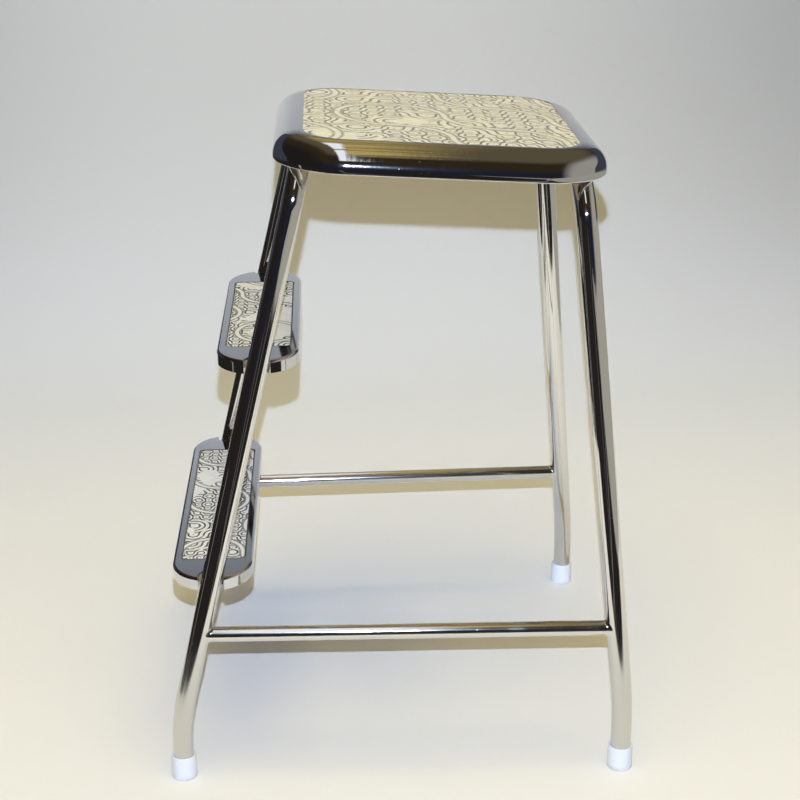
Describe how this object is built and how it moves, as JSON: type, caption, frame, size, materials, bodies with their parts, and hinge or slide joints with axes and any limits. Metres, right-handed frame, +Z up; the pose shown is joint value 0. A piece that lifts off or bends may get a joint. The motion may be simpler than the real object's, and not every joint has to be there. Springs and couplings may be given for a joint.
{
  "type": "step stool chair",
  "caption": "Rigid tubular step stool: a flat seat with a rolled metal rim on splayed tube legs, with tray steps across one side.",
  "frame": {"origin": "on the floor, in the middle of the box round the feet", "axes": "+Z up; -X towards the step side, +X towards the back legs; Y across the steps, along the trays"},
  "size_m": [0.4466, 0.4094, 0.6072],
  "materials": {
    "chrome_tube": "bright",
    "chrome_sheet": "bright",
    "laminate": "glossy, printed with fine dark lines",
    "board": "plain board",
    "cap_plastic": "satin",
    "bracket_steel": "satin",
    "screw_steel": "satin"
  },
  "bodies": {
    "root": {"step_side_frame_tube": "chrome_tube", "back_frame_tube": "chrome_tube", "near_stretcher": "chrome_tube", "far_stretcher": "chrome_tube", "near_step_side_braze_collar": "chrome_tube", "near_back_braze_collar": "chrome_tube", "far_step_side_braze_collar": "chrome_tube", "far_back_braze_collar": "chrome_tube", "seat_pan": "chrome_sheet", "seat_inlay": "laminate", "seat_board": "board", "step_side_seat_straps": "bracket_steel", "back_seat_straps": "bracket_steel", "seat_strap_screws": "screw_steel", "near_step_side_foot_cap": "cap_plastic", "far_step_side_foot_cap": "cap_plastic", "near_back_foot_cap": "cap_plastic", "far_back_foot_cap": "cap_plastic", "upper_step_tray": "chrome_sheet", "upper_step_inlay": "laminate", "upper_step_board": "board", "near_upper_step_bracket": "bracket_steel", "far_upper_step_bracket": "bracket_steel", "lower_step_tray": "chrome_sheet", "lower_step_inlay": "laminate", "lower_step_board": "board", "near_lower_step_bracket": "bracket_steel", "far_lower_step_bracket": "bracket_steel", "step_bracket_screws": "screw_steel"}
  },
  "joints": []
}
